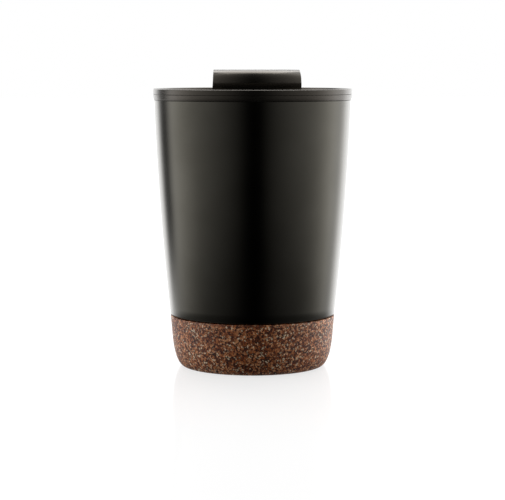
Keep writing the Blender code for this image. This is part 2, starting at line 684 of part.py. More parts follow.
def drink_stopper():
    """The silicone plug that sits on the flap's boss and closes the drinking slot."""
    foot = FLOOR_BELOW_HINGE - STOPPER_REACH
    top = PLATE_UNDERSIDE - GAP
    flange_low = FLOOR_BELOW_HINGE + GAP
    flange_high = flange_low + STOPPER_FLANGE
    at_slot = (0, SLOT_FROM_HINGE, 0)
    outline = stadium(STOPPER_LENGTH, STOPPER_WIDTH)
    wide = stadium(STOPPER_LENGTH + 2 * STOPPER_FLANGE, STOPPER_WIDTH + 2 * STOPPER_FLANGE)
    plug = extruded("drink_stopper", outline, foot, flange_high, SILICONE, FLAP, at_slot)
    bevelled(plug, STOPPER_CHAMFER, 1)
    flange = extruded("stopper_flange", wide, flange_low, flange_high, None, FLAP, at_slot, cutter=True)
    combine(plug, bevelled(flange, STOPPER_EDGE), "UNION")
    collar = extruded("stopper_collar", outline, flange_low, top, None, FLAP, at_slot, cutter=True)
    combine(plug, collar, "UNION")
    pocket_foot = foot + STOPPER_FLOOR
    shrink = -GAP - STOPPER_WALL
    inside = slot_cutter("stopper_pocket", pocket_foot, 2 * FLAP_RADIUS, FLAP, SLOT_FROM_HINGE, shrink)
    return combine(plug, inside, "DIFFERENCE")


def vent_plug():
    """The silicone nub that closes the vent, held in the flap's plate between its collar and its head."""
    stem = VENT_RADIUS - GAP
    wide = stem + VENT_COLLAR
    under_plate = PLATE_UNDERSIDE - GAP
    over_plate = PLATE_UNDERSIDE + BASE_PLATE + GAP
    tip = FLOOR_BELOW_HINGE - VENT_REACH
    corners = [
        (0, over_plate + VENT_HEAD),
        (wide, over_plate + VENT_HEAD, VENT_ROUND),
        (wide, over_plate),
        (stem, over_plate),
        (stem, under_plate),
        (wide, under_plate),
        (wide, under_plate - VENT_HEAD),
        (stem, under_plate - VENT_HEAD),
        (stem, FLOOR_BELOW_HINGE),
        (VENT_TIP, tip),
        (0, tip),
    ]
    return turned(
        "vent_plug", corners, SILICONE, parent=FLAP, centre=(0, VENT_FROM_HINGE, 0), segments=BORE_SEGMENTS
    )


# ---------------------------------------------------------------- build

clear_scene()
PARTS = new_collection("travel_cup")
CUTTERS = new_collection("cutters")
CUTTERS.hide_render = True

BLACK_STEEL = material("black_coated_steel", (0.030, 0.029, 0.026), 0.30, 0.85)
BARE_STEEL = material("bare_steel", (0.55, 0.55, 0.55), 0.30, 1.0)
PLASTIC = material("black_polypropylene", (0.022, 0.021, 0.020), 0.45)
SILICONE = material("grey_silicone", (0.06, 0.06, 0.06), 0.60)
CORK = material("dark_cork", (0.10, 0.042, 0.022), 0.90)
FOAM_TAPE = material("foam_tape", (0.75, 0.75, 0.72), 0.80)

LID = empty("lid_lift", (0, 0, LID_SEAT))
FLAP = empty("flap_hinge", (0, HINGE_Y, HINGE_Z), LID)

outer_shell()
bottom_plate()
cork_base()
adhesive_pad()
inner_liner()
rim_gasket()
lid_cover()
lid_plug()
lid_seal()
hinge_pin()
flap_shell()
flap_base()
drink_stopper()
vent_plug()
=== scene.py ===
# %% [markdown]
# # An insulated travel cup with a cork foot
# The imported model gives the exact, faceted solids of the cup, with the joints of its lid and flap.
# This lesson makes the pieces that the eye sees: smooth turned walls, rounded edges and real finishes.
# Everything is in metres, Z is up, and the drinker's side is -Y.

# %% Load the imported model
import math

import bmesh
import bpy
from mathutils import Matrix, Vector


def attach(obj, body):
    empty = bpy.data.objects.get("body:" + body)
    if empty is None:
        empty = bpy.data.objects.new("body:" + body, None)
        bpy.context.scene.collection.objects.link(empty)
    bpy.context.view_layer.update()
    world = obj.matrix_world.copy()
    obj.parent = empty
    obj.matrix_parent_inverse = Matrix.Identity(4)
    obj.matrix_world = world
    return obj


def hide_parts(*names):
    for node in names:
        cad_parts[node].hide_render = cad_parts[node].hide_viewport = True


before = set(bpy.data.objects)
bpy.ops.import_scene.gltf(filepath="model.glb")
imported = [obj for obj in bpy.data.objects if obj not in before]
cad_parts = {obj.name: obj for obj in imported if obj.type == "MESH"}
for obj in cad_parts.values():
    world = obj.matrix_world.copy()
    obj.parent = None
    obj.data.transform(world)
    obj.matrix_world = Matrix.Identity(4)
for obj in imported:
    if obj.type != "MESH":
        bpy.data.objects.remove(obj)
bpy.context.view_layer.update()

MM = 0.001

# %% [markdown]
# ## Working in edit mode from a script
# An operator acts on what is selected. So each step first says what is selected, by its place, and
# then calls the same operator that a person would pick from the menu.

# %% Selecting by place
NEAR = 0.004 * MM  # how close a point has to be to count as being in a place


def deselect_all():
    bpy.ops.object.select_all(action="DESELECT")


def named(piece, name):
    piece.name = piece.data.name = name
    return piece


def select_edges(piece, test):
    """In edit mode, selects the edges whose two ends both pass the test."""
    bpy.ops.mesh.select_mode(type="EDGE")
    bpy.ops.mesh.select_all(action="DESELECT")
    mesh = bmesh.from_edit_mesh(piece.data)
    for edge in mesh.edges:
        if all(test(corner.co) for corner in edge.verts):
            edge.select_set(True)
    mesh.select_flush_mode()
    bmesh.update_edit_mesh(piece.data)
    return sum(edge.select for edge in mesh.edges)


def on_ring(radius, height):
    """A test for the points of one turned ring."""
    return lambda point: abs(point.z - height) < NEAR and abs(math.hypot(point.x, point.y) - radius) < NEAR


# %% [markdown]
# ## Turned pieces
# Shell, liner, cork, lid and seal are all round. Each one could be a curve with a Screw modifier.
# Here a circle is extruded ring by ring and scaled to each new radius, which is how one would
# turn a cup by hand, and it lets every corner take a bevel of its own afterwards.

# %% A helper that turns a profile
ROUND = 192  # segments round the cup
CORNER_STEPS = 4  # segments in a rounded corner
SMOOTH_ANGLE = math.radians(32)  # a sharper corner than this stays a crease


def turned(name, rings, closed=False, segments=ROUND):
    """A round piece from (radius, height) rings in mm. A third number rounds that corner, from that far back.
    Open ends are filled; a closed profile is joined from its last ring to its first."""
    deselect_all()
    first_radius, first_height = rings[0][0] * MM, rings[0][1] * MM
    bpy.ops.mesh.primitive_circle_add(vertices=segments, radius=first_radius, location=(0, 0, first_height))
    piece = named(bpy.context.object, name)
    bpy.ops.object.transform_apply(location=True, rotation=True, scale=True)
    bpy.ops.object.mode_set(mode="EDIT")
    bpy.ops.mesh.select_mode(type="EDGE")
    bpy.ops.mesh.select_all(action="SELECT")
    radius, height = first_radius, first_height
    for ring in rings[1:]:
        new_radius, new_height = ring[0] * MM, ring[1] * MM
        bpy.ops.mesh.extrude_region_move(TRANSFORM_OT_translate={"value": (0, 0, new_height - height)})
        share = new_radius / radius
        bpy.ops.transform.resize(value=(share, share, 1), center_override=(0, 0, new_height))
        radius, height = new_radius, new_height
    ends = [on_ring(first_radius, first_height), on_ring(radius, height)]
    if closed:
        select_edges(piece, lambda point: ends[0](point) or ends[1](point))
        bpy.ops.mesh.bridge_edge_loops()
    else:
        for end in ends:
            select_edges(piece, end)
            bpy.ops.mesh.edge_face_add()
    for ring in rings:
        if len(ring) > 2:
            select_edges(piece, on_ring(ring[0] * MM, ring[1] * MM))
            bpy.ops.mesh.bevel(
                offset=ring[2] * MM, segments=CORNER_STEPS, affect="EDGES", clamp_overlap=False
            )
    finish_mesh(piece)
    return piece


def finish_mesh(piece):
    """Leaves edit mode with the faces pointing outwards, smooth but for the real corners."""
    bpy.ops.mesh.select_all(action="SELECT")
    bpy.ops.mesh.normals_make_consistent(inside=False)
    bpy.ops.object.mode_set(mode="OBJECT")
    smooth(piece)


def make_active(piece):
    deselect_all()
    piece.select_set(True)
    bpy.context.view_layer.objects.active = piece


def smooth(piece):
    make_active(piece)
    bpy.ops.object.shade_smooth_by_angle(angle=SMOOTH_ANGLE)


def apply_modifier(piece, kind, **settings):
    """Adds a modifier with its settings and applies it at once."""
    make_active(piece)
    modifier = piece.modifiers.new(kind.lower(), kind)
    for key, value in settings.items():
        setattr(modifier, key, value)
    bpy.ops.object.modifier_apply(modifier=modifier.name)
    return piece


# %% [markdown]
# ## Finishes
# A shader wants linear colour, but a colour given in hex is sRGB, so one function turns it.
# Another adds a node, sets its values and links its inputs, which keeps each recipe short.

# %% Helpers for materials
def linear(hex_colour):
    parts = [int(hex_colour[i : i + 2], 16) / 255 for i in (1, 3, 5)]
    return tuple(c / 12.92 if c <= 0.04045 else ((c + 0.055) / 1.055) ** 2.4 for c in parts) + (1.0,)


BLACK, WHITE = linear("#000000"), linear("#ffffff")


def add_node(tree, kind, settings=None, links=None):
    """Adds a node. A setting is an input's name or number, or one of the node's own properties."""
    made = tree.nodes.new("ShaderNode" + kind)
    for key, value in (settings or {}).items():
        if isinstance(key, int) or key in made.inputs:
            made.inputs[key].default_value = value
        else:
            setattr(made, key, value)
    for key, source in (links or {}).items():
        tree.links.new(source, made.inputs[key])
    return made


def ramp_colours(made, stops):
    """Fills a Color Ramp from (position, colour) stops."""
    elements = made.color_ramp.elements
    while len(elements) > 1:
        elements.remove(elements[-1])
    elements[0].position, elements[0].color = stops[0]
    for position, colour in stops[1:]:
        elements.new(position).color = colour
    return made


def new_material(name, metallic=0.0, ior=1.5):
    material = bpy.data.materials.new(name)
    material.use_nodes = True
    shader = material.node_tree.nodes["Principled BSDF"]
    shader.inputs["Metallic"].default_value = metallic
    shader.inputs["IOR"].default_value = ior
    return material, material.node_tree, shader


def grain(size_mm):
    """The scale that gives a noise or a Voronoi pattern features of about this size."""
    return 1 / (size_mm * MM)


def dress(piece, material):
    piece.data.materials.clear()
    piece.data.materials.append(material)
    return piece


# %% [markdown]
# ### The black coat on the steel
# The shell is drawn stainless steel with a thin, hard, satin black coat, sprayed and baked. It keeps a
# metal's reflection, only much darker: it mirrors the bright sides of a studio in soft bands
# and goes white where it is seen edge-on. The spray leaves a faint orange peel, a third of a
# millimetre across, and the coat is a little uneven in gloss from place to place.

# %% Coated steel
def make_coated_steel():
    material, tree, shader = new_material("satin_black_coated_steel", metallic=1.0)
    place = add_node(tree, "TexCoord").outputs["Object"]
    cloud = add_node(tree, "TexNoise", {"Scale": grain(22), "Detail": 3.0}, {"Vector": place})
    tone = add_node(tree, "ValToRGB", links={"Fac": cloud.outputs["Fac"]})
    ramp_colours(tone, [(0.35, linear("#484640")), (0.65, linear("#4d4b45"))])
    peel = add_node(tree, "TexNoise", {"Scale": grain(0.35), "Detail": 2.0}, {"Vector": place})
    gloss = add_node(tree, "MapRange", {"To Min": 0.16, "To Max": 0.21}, {"Value": cloud.outputs["Fac"]})
    bump = add_node(tree, "Bump", {"Strength": 0.12, "Distance": 0.02 * MM}, {"Height": peel.outputs["Fac"]})
    tree.links.new(tone.outputs["Color"], shader.inputs["Base Color"])
    tree.links.new(gloss.outputs["Result"], shader.inputs["Roughness"])
    tree.links.new(bump.outputs["Normal"], shader.inputs["Normal"])
    return material


coated_steel = make_coated_steel()
print("made", coated_steel.name)

# %% [markdown]
# ### The black plastic
# Liner, lid and flap are moulded polypropylene. The mould was lightly spark-eroded, which gives a fine
# grain of about a quarter of a millimetre: dark, even and satin, with soft, slightly warm reflections.

# %% Moulded polypropylene
def make_black_plastic():
    material, tree, shader = new_material("moulded_black_polypropylene", ior=1.49)
    place = add_node(tree, "TexCoord").outputs["Object"]
    cloud = add_node(tree, "TexNoise", {"Scale": grain(9), "Detail": 2.0}, {"Vector": place})
    tone = add_node(tree, "ValToRGB", links={"Fac": cloud.outputs["Fac"]})
    ramp_colours(tone, [(0.3, linear("#171614")), (0.7, linear("#1b1a18"))])
    spark = add_node(tree, "TexVoronoi", {"Scale": grain(0.25), "feature": "SMOOTH_F1"}, {"Vector": place})
    gloss = add_node(tree, "MapRange", {"To Min": 0.21, "To Max": 0.27}, {"Value": cloud.outputs["Fac"]})
    relief = {"Height": spark.outputs["Distance"]}
    bump = add_node(tree, "Bump", {"Strength": 0.18, "Distance": 0.02 * MM}, relief)
    shader.inputs["Specular IOR Level"].default_value = 0.65
    shader.inputs["Specular Tint"].default_value = linear("#fff2e0")
    tree.links.new(tone.outputs["Color"], shader.inputs["Base Color"])
    tree.links.new(gloss.outputs["Result"], shader.inputs["Roughness"])
    tree.links.new(bump.outputs["Normal"], shader.inputs["Normal"])
    return material


black_plastic = make_black_plastic()
print("made", black_plastic.name)

# %% [markdown]
# ### Silicone, bare steel and foam tape
# The seal and the two plugs are moulded silicone, matt and a little lighter than the plastic. The pin
# and the bottom plate are bare stainless steel with fine drawing lines. The pad under
# the plate is white acrylic foam tape, full of tiny closed bubbles.

# %% Silicone, steel and tape
def make_silicone():
    material, tree, shader = new_material("moulded_grey_silicone", ior=1.41)
    place = add_node(tree, "TexCoord").outputs["Object"]
    cloud = add_node(tree, "TexNoise", {"Scale": grain(3), "Detail": 3.0}, {"Vector": place})
    tone = add_node(tree, "ValToRGB", links={"Fac": cloud.outputs["Fac"]})
    ramp_colours(tone, [(0.3, linear("#3d3c3a")), (0.7, linear("#454442"))])
    gloss = add_node(tree, "MapRange", {"To Min": 0.50, "To Max": 0.62}, {"Value": cloud.outputs["Fac"]})
    tree.links.new(tone.outputs["Color"], shader.inputs["Base Color"])
    tree.links.new(gloss.outputs["Result"], shader.inputs["Roughness"])
    shader.inputs["Subsurface Weight"].default_value = 0.05
    shader.inputs["Subsurface Radius"].default_value = (0.4 * MM, 0.4 * MM, 0.4 * MM)
    return material


def make_bare_steel():
    material, tree, shader = new_material("drawn_stainless_steel", metallic=1.0)
    place = add_node(tree, "TexCoord").outputs["Object"]
    along = add_node(tree, "Mapping", {"Scale": (0.05, 1.0, 1.0)}, {"Vector": place}).outputs["Vector"]
    lines = add_node(tree, "TexNoise", {"Scale": grain(0.2), "Detail": 2.0}, {"Vector": along})
    tone = add_node(tree, "ValToRGB", links={"Fac": lines.outputs["Fac"]})
    ramp_colours(tone, [(0.3, linear("#b9b7b3")), (0.7, linear("#cbc9c5"))])
    gloss = add_node(tree, "MapRange", {"To Min": 0.22, "To Max": 0.36}, {"Value": lines.outputs["Fac"]})
    bump = add_node(tree, "Bump", {"Strength": 0.15, "Distance": 0.01 * MM}, {"Height": lines.outputs["Fac"]})
    tree.links.new(tone.outputs["Color"], shader.inputs["Base Color"])
    tree.links.new(gloss.outputs["Result"], shader.inputs["Roughness"])
    tree.links.new(bump.outputs["Normal"], shader.inputs["Normal"])
    return material


def make_foam_tape():
    material, tree, shader = new_material("acrylic_foam_tape", ior=1.45)
    place = add_node(tree, "TexCoord").outputs["Object"]
    bubbles = add_node(tree, "TexVoronoi", {"Scale": grain(0.3)}, {"Vector": place})
    tone = add_node(tree, "ValToRGB", links={"Fac": bubbles.outputs["Distance"]})
    ramp_colours(tone, [(0.0, linear("#d9d8d2")), (0.6, linear("#e8e7e2"))])
    relief = {"Height": bubbles.outputs["Distance"]}
    bump = add_node(tree, "Bump", {"Strength": 0.4, "Distance": 0.05 * MM}, relief)
    shader.inputs["Roughness"].default_value = 0.8
    tree.links.new(tone.outputs["Color"], shader.inputs["Base Color"])
    tree.links.new(bump.outputs["Normal"], shader.inputs["Normal"])
    return material


grey_silicone = make_silicone()
bare_steel = make_bare_steel()
foam_tape = make_foam_tape()
print("made", grey_silicone.name, bare_steel.name, foam_tape.name)

# %% [markdown]
# ### The cork
# The foot is agglomerated cork: ground bark pressed with a binder, turned to shape and sealed. Most
# grains are red-brown, smaller tan ones are sprinkled between them, and where a grain has fallen
# out the pit is darkened in the colour with painted shade. The sealer is satin, so the flanks go paler and
# greyer. The finest
# dust of the real mix is left out: nothing under half a millimetre would show.

# %% Agglomerated cork
GRAIN_SIZE, CHIP_SIZE, PIT_SIZE = 0.85, 0.62, 0.7  # mm
# The pits get painted shade: the factor below darkens the colour where a grain has fallen out.
PIT_SHADE = (0.08, 0.04, 0.02, 1)  # what the colour is multiplied by in a pit
WOBBLE_SIZE, WOBBLE_DEPTH = 0.6, 0.25  # mm, how the grains' outlines are bent


def make_cork():
    material, tree, shader = new_material("agglomerated_dark_cork", ior=1.4)
    place = add_node(tree, "TexCoord").outputs["Object"]
    wobble = add_node(tree, "TexNoise", {"Scale": grain(WOBBLE_SIZE), "Detail": 2.0}, {"Vector": place})
    push = add_node(
        tree, "VectorMath", {"operation": "SCALE", "Scale": WOBBLE_DEPTH * MM}, {0: wobble.outputs["Color"]}
    ).outputs["Vector"]
    bent = add_node(tree, "VectorMath", {"operation": "ADD"}, {0: place, 1: push}).outputs["Vector"]
    cells = add_node(tree, "TexVoronoi", {"Scale": grain(GRAIN_SIZE)}, {"Vector": bent})
    brown = add_node(tree, "ValToRGB", links={"Fac": cells.outputs["Color"]})
    browns = ((0.0, "#1e0702"), (0.36, "#763718"), (0.6, "#c4703a"), (0.9, "#ffbc88"))
    ramp_colours(brown, [(position, linear(colour)) for position, colour in browns])
    chips = add_node(tree, "TexVoronoi", {"Scale": grain(CHIP_SIZE)}, {"Vector": bent})
    is_light = add_node(tree, "ValToRGB", links={"Fac": chips.outputs["Color"]})
    ramp_colours(is_light, [(0.80, BLACK), (0.83, WHITE)])
    sprinkled = add_node(
        tree,
        "MixRGB",
        {"Color2": linear("#ffe9c8")},
        {"Fac": is_light.outputs["Color"], "Color1": brown.outputs["Color"]},
    )
    ragged = {"Scale": grain(PIT_SIZE), "Detail": 4.0, "Roughness": 0.7}
    pits = add_node(tree, "TexNoise", ragged, {"Vector": place})
    # Painted shade: the colour is multiplied down in the pits.
    pit_shade = add_node(tree, "ValToRGB", links={"Fac": pits.outputs["Fac"]})
    ramp_colours(pit_shade, [(0.42, PIT_SHADE), (0.50, WHITE)])
    colour = add_node(
        tree,
        "MixRGB",
        {"blend_type": "MULTIPLY", "Fac": 1.0},
        {"Color1": sprinkled.outputs["Color"], "Color2": pit_shade.outputs["Color"]},
    )
    edges = add_node(
        tree, "TexVoronoi", {"Scale": grain(GRAIN_SIZE), "feature": "DISTANCE_TO_EDGE"}, {"Vector": bent}
    )
    heights = {0: edges.outputs["Distance"], 1: pits.outputs["Fac"]}
    relief = add_node(tree, "Math", {"operation": "ADD"}, heights).outputs["Value"]
    bump = add_node(tree, "Bump", {"Strength": 0.55, "Distance": 0.15 * MM}, {"Height": relief})
    gloss = add_node(tree, "MapRange", {"To Min": 0.58, "To Max": 0.40}, {"Value": pits.outputs["Fac"]})
    shader.inputs["Specular IOR Level"].default_value = 0.75
    tree.links.new(colour.outputs["Color"], shader.inputs["Base Color"])
    tree.links.new(gloss.outputs["Result"], shader.inputs["Roughness"])
    tree.links.new(bump.outputs["Normal"], shader.inputs["Normal"])
    return material


dark_cork = make_cork()
print("made", dark_cork.name)

# %% [markdown]
# ## The steel shell
# The real shell is one drawn sheet: a turned-in lip at the top, a long side that bows out a little
# from a straight cone, a small step at the cork, and a neck that goes down inside it. It could be a
# solid with two walls. Here the outside is a surface and Solidify gives it the sheet's
# thickness, inwards, so both walls keep the same bow.

# %% Steel shell
SEAM_RADIUS, SEAM_HEIGHT = 37.1, 23.4
SHELL_TOP_RADIUS, SHELL_TOP = 44.2, 120.05
SHELL_BOW = 0.85
NECK_RADIUS, NECK_FOOT = 34.2, 6.9
SHEET = 0.6
SIDE_RINGS = 22  # rings between the shell's two ends


def shell_radius(share):
    """Radius of the steel side, from 0 at the cork to 1 at the top."""
    return SEAM_RADIUS + (SHELL_TOP_RADIUS - SEAM_RADIUS) * share + 4 * SHELL_BOW * share * (1 - share)


def shell_side(count):
    height = SHELL_TOP - SEAM_HEIGHT
    shares = [1 - i / (count + 1) for i in range(1, count + 1)]
    return [(shell_radius(share), SEAM_HEIGHT + height * share) for share in shares]


def open_ends(piece, ends):
    """Takes away the flat faces that filled the ends."""
    make_active(piece)
    bpy.ops.object.mode_set(mode="EDIT")
    bpy.ops.mesh.select_mode(type="FACE")
    bpy.ops.mesh.select_all(action="DESELECT")
    mesh = bmesh.from_edit_mesh(piece.data)
    for face in mesh.faces:
        height = face.calc_center_median().z
        if len(face.verts) >= ROUND and any(abs(height - end * MM) < NEAR for end in ends):
            face.select_set(True)
    bmesh.update_edit_mesh(piece.data)
    bpy.ops.mesh.delete(type="ONLY_FACE")
    bpy.ops.object.mode_set(mode="OBJECT")


steel_side = turned(
    "steel_side",
    [
        (41.6, SHELL_TOP),
        (SHELL_TOP_RADIUS, SHELL_TOP, 0.2),
        *shell_side(SIDE_RINGS),
        (SEAM_RADIUS, SEAM_HEIGHT, 0.8),
        (NECK_RADIUS, SEAM_HEIGHT, 0.6),
        (NECK_RADIUS, NECK_FOOT),
    ],
)
open_ends(steel_side, (SHELL_TOP, NECK_FOOT))
apply_modifier(steel_side, "SOLIDIFY", thickness=SHEET * MM, offset=-1.0)
smooth(steel_side)
dress(steel_side, coated_steel)
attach(steel_side, "cup")
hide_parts("outer_shell")
print("steel side:", len(steel_side.data.polygons), "faces")

# %% [markdown]
# ## The cork foot
# A cork cup is turned on a lathe: a straight socket for the steel neck, a side that narrows
# slightly, and a big soft curve down to a flat ring, with a shallow recess inside it. The curve is
# not an arc: it tightens towards the table, so it follows four handles, as a drawn curve does.

# %% Cork foot
FOOT_CURVE = ((36.35, 14.0), (35.45, 3.9), (33.1, 0.0), (30.7, 0.0))
FOOT_STEPS = 24


def bezier(handles, count):
    """Points along a cubic curve, both ends included."""
    points = []
    for i in range(count + 1):
        t = i / count
        weights = ((1 - t) ** 3, 3 * t * (1 - t) ** 2, 3 * t * t * (1 - t), t**3)
        points.append(tuple(sum(w * handle[axis] for w, handle in zip(weights, handles)) for axis in (0, 1)))
    return points


cork_foot = turned(
    "cork_foot",
    [
        (34.5, 5.5, 0.6),
        (34.5, 23.1),
        (37.1, 23.1, 0.35),
        (36.85, 20.1),
        (36.6, 17.1),
        *bezier(FOOT_CURVE, FOOT_STEPS),
        (22.0, 0.0),
        (21.2, 0.8),
    ],
)
dress(cork_foot, dark_cork)
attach(cork_foot, "cup")
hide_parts("cork_base")
print("cork foot:", len(cork_foot.data.polygons), "faces")

# %% [markdown]
# ## The liner
# One injection moulding: a tapered vessel with a straight mouth for the lid's ring and a rim that
# covers the steel's edge. The rim's side is the lower half of the black band under the lid.

# %% Liner
liner = turned(
    "plastic_liner",
    [
        (28.5, 20.05, 7.1),
        (39.5, 108.85, 0.7),
        (39.5, 122.6, 0.5),
        (44.5, 122.6, 0.15),
        (44.3, 120.1, 0.15),
        (43.8, 120.1),
        (43.8, 121.1),
        (42.2, 121.1),
        (42.2, 120.1),
        (41.3, 120.1),
        (41.3, 108.85, 0.7),
        (30.3, 18.25, 8.6),
    ],
)
dress(liner, black_plastic)
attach(liner, "cup")
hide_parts("inner_liner")
print("liner:", len(liner.data.polygons), "faces")

# %% [markdown]
# ## The lid's plug and its ring
# The lower moulding closes the lid from below. It carries the groove for the silicone ring and
# two ducts, for the drink and for the air. Blocks with round ends make the ducts: a
# box whose upright edges are bevelled by half its width.

# %% Helpers for blocks and cutting
HAIR = 0.001  # mm, keeps two full roundings from meeting in the same edge
PAST = 2.0  # mm that a cutter reaches past what it cuts


def block(name, size, centre, rounding=0.0, steps=12):
    """A box in mm. Its upright edges can be rounded."""
    deselect_all()
    bpy.ops.mesh.primitive_cube_add(size=1, location=[c * MM for c in centre], scale=[s * MM for s in size])
    piece = named(bpy.context.object, name)
    bpy.ops.object.transform_apply(location=True, rotation=True, scale=True)
    if rounding:
        bpy.ops.object.mode_set(mode="EDIT")
        bpy.ops.mesh.select_mode(type="EDGE")
        bpy.ops.mesh.select_all(action="DESELECT")
        mesh = bmesh.from_edit_mesh(piece.data)
        for edge in mesh.edges:
            a, b = (corner.co for corner in edge.verts)
            edge.select_set(abs(a.x - b.x) < NEAR and abs(a.y - b.y) < NEAR)
        bmesh.update_edit_mesh(piece.data)
        bpy.ops.mesh.bevel(offset=rounding * MM, segments=steps, affect="EDGES")
        bpy.ops.mesh.remove_doubles(threshold=NEAR)
        bpy.ops.object.mode_set(mode="OBJECT")
    return piece


def slot_block(name, length, width, low, high, y):
    """A block with fully round ends, for a slot or a duct, between two heights."""
    middle = (low + high) / 2
    return block(name, (length, width, high - low), (0, y, middle), width / 2 - HAIR)


def rod(name, radius, low, high, y, steps=64):
    """An upright cylinder between two heights."""
    deselect_all()
    height = (high - low) * MM
    centre = (0, y * MM, (low + high) / 2 * MM)
    bpy.ops.mesh.primitive_cylinder_add(vertices=steps, radius=radius * MM, depth=height, location=centre)
    piece = named(bpy.context.object, name)
    bpy.ops.object.transform_apply(location=True, rotation=True, scale=True)
    return piece


def combine(piece, other, operation):
    """Joins, cuts or intersects two solids, and takes the second one away."""
    apply_modifier(piece, "BOOLEAN", object=other, operation=operation, solver="EXACT")
    bpy.data.objects.remove(other)
    return piece


def soften(piece, width, angle=40, segments=3):
    """Rounds every real corner by the same small width, and keeps the flat faces looking flat."""
    apply_modifier(
        piece,
        "BEVEL",
        width=width * MM,
        segments=segments,
        limit_method="ANGLE",
        angle_limit=math.radians(angle),
        harden_normals=False,
    )
    smooth(piece)
    return apply_modifier(piece, "WEIGHTED_NORMAL", keep_sharp=True)


# %% Lid plug and seal
SLOT_LENGTH, SLOT_WIDTH, SLOT_Y = 20.0, 6.6, -28.0
VENT_RADIUS, VENT_Y = 1.5, -13.0
DUCT_WALL = 1.5
PLUG_FOOT, PLUG_TOP = 109.5, 118.4
DUCT_FOOT, DUCT_TOP = PLUG_FOOT + 0.9, PLUG_TOP - 0.1

plug = turned(
    "plug_moulding",
    [
        (35.1, PLUG_FOOT + 1.8, 0.8),
        (35.1, PLUG_TOP),
        (38.7, PLUG_TOP),
        (38.7, 116.55),
        (36.7, 116.55),
        (36.7, 112.15),
        (38.7, 112.15),
        (38.7, PLUG_FOOT, 1.0),
    ],
)
duct_length, duct_width = SLOT_LENGTH + 2 * DUCT_WALL, SLOT_WIDTH + 2 * DUCT_WALL
combine(plug, slot_block("duct", duct_length, duct_width, DUCT_FOOT, DUCT_TOP, SLOT_Y), "UNION")
combine(plug, rod("vent_pipe", VENT_RADIUS + DUCT_WALL, DUCT_FOOT, DUCT_TOP, VENT_Y), "UNION")
cut_low, cut_high = PLUG_FOOT - PAST, PLUG_TOP + PAST
combine(plug, slot_block("duct_hole", SLOT_LENGTH, SLOT_WIDTH, cut_low, cut_high, SLOT_Y), "DIFFERENCE")
combine(plug, rod("vent_hole", VENT_RADIUS, cut_low, cut_high, VENT_Y), "DIFFERENCE")
smooth(plug)
dress(plug, black_plastic)
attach(plug, "lid")
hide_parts("lid_plug")

seal = turned(
    "seal_ring",
    [
        (38.3, 116.25, 0.2),
        (39.2, 115.6, 0.15),
        (39.2, 115.1, 0.15),
        (38.3, 114.5),
        (39.2, 113.7, 0.15),
        (39.2, 113.2, 0.15),
        (38.3, 112.45, 0.2),
        (37.0, 112.45),
        (37.0, 116.25),
    ],
    closed=True,
)
dress(seal, grey_silicone)
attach(seal, "lid_ring")
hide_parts("lid_seal")
print("plug:", len(plug.data.polygons), "faces; seal:", len(seal.data.polygons), "faces")

# %% [markdown]
# ## The lid's top
# The upper moulding has a raised edge, a narrow ledge, and a recess that the flap lies over. A lug
# stands in the recess and carries the hinge pin. The slot and the vent are cut after the
# turning, because they are the only things on it that aren't round.

# %% Lid top
HINGE_Y, HINGE_Z = 6.0, 128.6
RECESS_FLOOR = 120.5
LUG_WIDTH, LUG_RADIUS = 24.0, 4.7
LUG_SINK = 0.9  # how far the lug reaches down into the floor
LUG_ROUND = 0.35
PIN_RADIUS, PIN_GAP = 1.5, 0.1

lid = turned(
    "lid_top",
    [
        (37.1, RECESS_FLOOR, 1.0),
        (37.1, 123.4, 0.7),
        (42.15, 123.4, 0.5),
        (43.0, 125.1, 0.35),
        (44.5, 125.1, 0.4),
        (44.5, 122.65, 0.15),
        (38.7, 122.65),
        (38.7, 118.7),
    ],
)


def cross_rod(name, radius, half_length, y, z, steps=64):
    """A cylinder that lies along X."""
    deselect_all()
    bpy.ops.mesh.primitive_cylinder_add(
        vertices=steps,
        radius=radius * MM,
        depth=2 * half_length * MM,
        location=(0, y * MM, z * MM),
        rotation=(0, math.pi / 2, 0),
    )
    piece = named(bpy.context.object, name)
    bpy.ops.object.transform_apply(location=True, rotation=True, scale=True)
    return piece


def make_lug():
    """A block with a half-round top, standing on the recess floor."""
    foot, top = RECESS_FLOOR - LUG_SINK, HINGE_Z + LUG_RADIUS
    lug = block("lug", (LUG_WIDTH, 2 * LUG_RADIUS, top - foot), (0, HINGE_Y, (foot + top) / 2))
    bpy.ops.object.mode_set(mode="EDIT")
    select_edges(lug, lambda point: abs(point.z - top * MM) < NEAR)
    mesh = bmesh.from_edit_mesh(lug.data)
    for edge in mesh.edges:
        a, b = (corner.co for corner in edge.verts)
        if edge.select and abs(a.x - b.x) < NEAR:
            edge.select_set(False)
    bmesh.update_edit_mesh(lug.data)
    bpy.ops.mesh.bevel(offset=(LUG_RADIUS - HAIR) * MM, segments=16, affect="EDGES")
    bpy.ops.object.mode_set(mode="OBJECT")
    return lug


combine(lid, soften(make_lug(), LUG_ROUND), "UNION")
cut_low, cut_high = RECESS_FLOOR - 2 * PAST, RECESS_FLOOR + 2 * PAST
combine(lid, slot_block("slot_hole", SLOT_LENGTH, SLOT_WIDTH, cut_low, cut_high, SLOT_Y), "DIFFERENCE")
combine(lid, rod("air_hole", VENT_RADIUS, cut_low, cut_high, VENT_Y), "DIFFERENCE")
combine(lid, cross_rod("lug_bore", PIN_RADIUS + PIN_GAP, LUG_WIDTH, HINGE_Y, HINGE_Z), "DIFFERENCE")
smooth(lid)
apply_modifier(lid, "WEIGHTED_NORMAL", keep_sharp=True)
dress(lid, black_plastic)
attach(lid, "lid")
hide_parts("lid_cover")
print("lid top:", len(lid.data.polygons), "faces")

# %% [markdown]
# ## The hinge pin
# A ground steel pin pressed through both cheeks of the flap. Its ends are chamfered, and a small
# centre mark from the lathe is left in each.

# %% Hinge pin
PIN_HALF_LENGTH = 17.25
PIN_CHAMFER = 0.25
MARK_INSET, MARK_DEPTH = 0.75, 0.2

